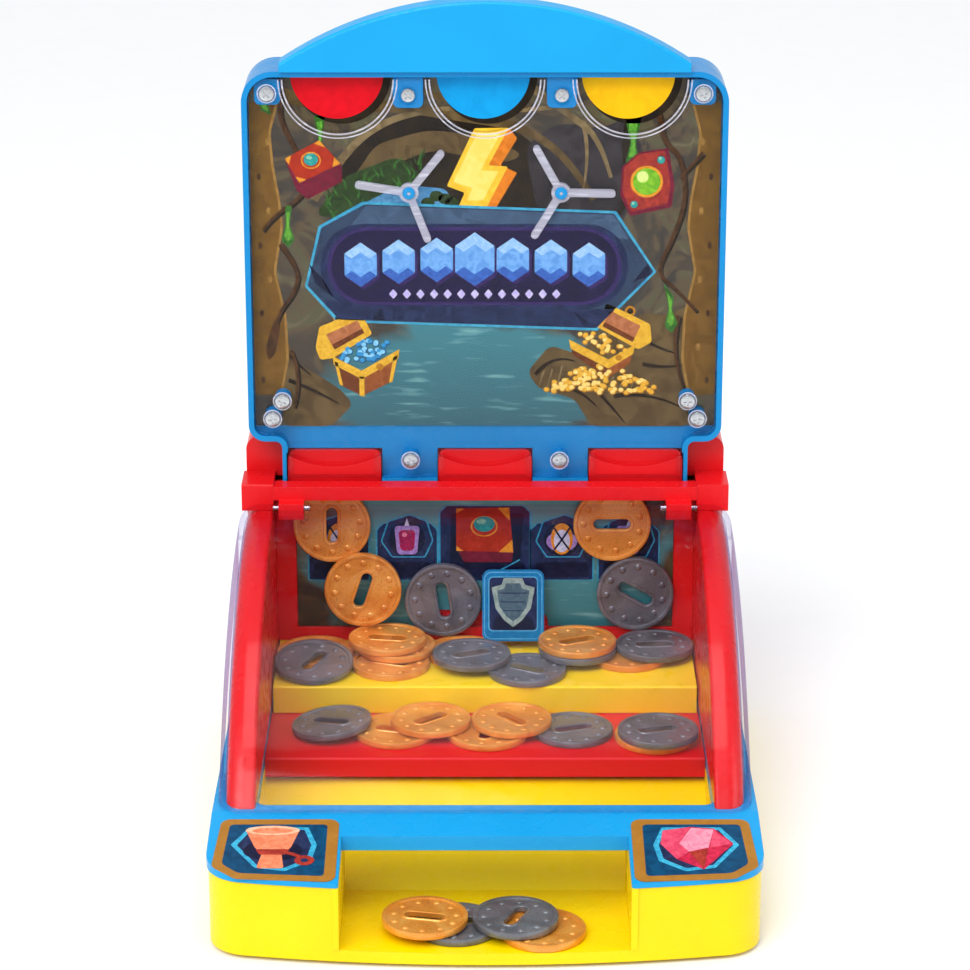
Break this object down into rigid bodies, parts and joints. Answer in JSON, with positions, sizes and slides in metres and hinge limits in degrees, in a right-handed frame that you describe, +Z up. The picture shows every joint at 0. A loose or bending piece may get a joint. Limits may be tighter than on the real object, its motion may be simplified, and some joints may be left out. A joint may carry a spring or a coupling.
{
  "type": "coin pusher machine",
  "caption": "Table-top coin pusher toy: sliding shelf, token deck, curved clear cover, upright header with token inlets and a win tray.",
  "frame": {"origin": "on the table, under the middle of the machine", "axes": "+Z up, +X to the player's right, -Y towards the player"},
  "size_m": [0.1792, 0.2166, 0.277],
  "materials": {
    "yellow_abs": "moulded, gloss",
    "blue_abs": "moulded, gloss",
    "light_blue_abs": "moulded, gloss",
    "red_abs": "moulded, gloss",
    "black_abs": "moulded, satin",
    "white_acetal": "moulded, satin",
    "clear_plastic": "clear, polished",
    "printed_card": "printed, varnished",
    "printed_sticker": "printed, gloss",
    "gold_token": "pearlescent",
    "silver_token": "pearlescent",
    "zinc_screws": "zinc plated",
    "steel_pins": "drawn",
    "motor_can": "pressed",
    "battery_cells": "sleeved",
    "rubber_feet": "matt"
  },
  "bodies": {
    "root": {"base_tub": "yellow_abs", "top_deck": "blue_abs", "sticker_left": "printed_sticker", "sticker_right": "printed_sticker", "token_deck": "red_abs", "back_wall": "red_abs", "playfield_card": "printed_card", "side_wall_left": "red_abs", "side_wall_right": "red_abs", "rear_housing": "red_abs", "crossbar": "red_abs", "token_scoops": "red_abs", "header_frame": "blue_abs", "header_card": "printed_card", "header_window": "clear_plastic", "header_rear_cover": "blue_abs", "marquee_crest": "light_blue_abs", "header_screws": "zinc_screws", "spinner_pin_left": "steel_pins", "spinner_pin_right": "steel_pins", "motor": "motor_can", "gearbox_plate": "black_abs", "gear_axles": "steel_pins", "battery_box": "black_abs", "batteries": "battery_cells", "battery_contacts": "zinc_screws", "battery_door": "yellow_abs", "door_screw": "zinc_screws", "base_screws": "zinc_screws", "rubber_feet": "rubber_feet", "switch_body": "black_abs", "tray_tokens_gold": "gold_token", "tray_tokens_silver": "silver_token", "wall_tokens_gold": "gold_token"},
    "pusher": {"pusher_shelf": "yellow_abs", "follower_post": "white_acetal", "shelf_tokens_gold": "gold_token", "shelf_tokens_silver": "silver_token", "prize_tile": "printed_card"},
    "deck_pile": {"deck_tokens_gold": "gold_token", "deck_tokens_silver": "silver_token"},
    "left_spinner": {"spinner_left": "clear_plastic"},
    "right_spinner": {"spinner_right": "clear_plastic"},
    "cover": {"window_cover": "clear_plastic", "hinge_pins": "steel_pins"},
    "cam": {"cam_gear": "white_acetal"},
    "idler": {"idler_gear": "white_acetal"},
    "pinion": {"motor_pinion": "white_acetal"},
    "switch": {"switch_knob": "black_abs"}
  },
  "joints": [
    {"name": "shelf_slide", "type": "slide", "parent": "root", "child": "pusher", "axis": [0, -1, 0], "range_m": [0, 0.012]},
    {"name": "pile_slide", "type": "slide", "parent": "root", "child": "deck_pile", "axis": [0, -1, 0], "range_m": [0, 0.012]},
    {"name": "left_spin", "type": "hinge", "parent": "root", "child": "left_spinner", "pos_m": [-0.0266, 0.0704, 0.209], "axis": [0, -1, 0], "continuous": true},
    {"name": "right_spin", "type": "hinge", "parent": "root", "child": "right_spinner", "pos_m": [0.0266, 0.0704, 0.209], "axis": [0, -1, 0], "continuous": true},
    {"name": "cover_hinge", "type": "hinge", "parent": "root", "child": "cover", "pos_m": [0, 0.0576, 0.097], "axis": [-1, 0, 0], "range_deg": [0, 95]},
    {"name": "cam_turn", "type": "hinge", "parent": "root", "child": "cam", "pos_m": [0, 0.0643, 0.0195], "axis": [0, 0, -1], "range_deg": [0, 170.5]},
    {"name": "idler_turn", "type": "hinge", "parent": "root", "child": "idler", "pos_m": [0.0265, 0.0643, 0.0195], "axis": [0, 0, 1], "range_deg": [0, 191]},
    {"name": "pinion_turn", "type": "hinge", "parent": "root", "child": "pinion", "pos_m": [0.0415, 0.0643, 0.0195], "axis": [0, 0, -1], "range_deg": [0, 955]},
    {"name": "switch_slide", "type": "slide", "parent": "root", "child": "switch", "axis": [1, 0, 0], "range_m": [-0.0025, 0.0025]}
  ],
  "couplings": [
    {"joint": "pile_slide", "follows": "shelf_slide", "ratio": 1},
    {"joint": "cam_turn", "follows": "shelf_slide", "rad_per_m": 247.25},
    {"joint": "idler_turn", "follows": "shelf_slide", "rad_per_m": 276.93},
    {"joint": "pinion_turn", "follows": "shelf_slide", "rad_per_m": 1384.6}
  ]
}
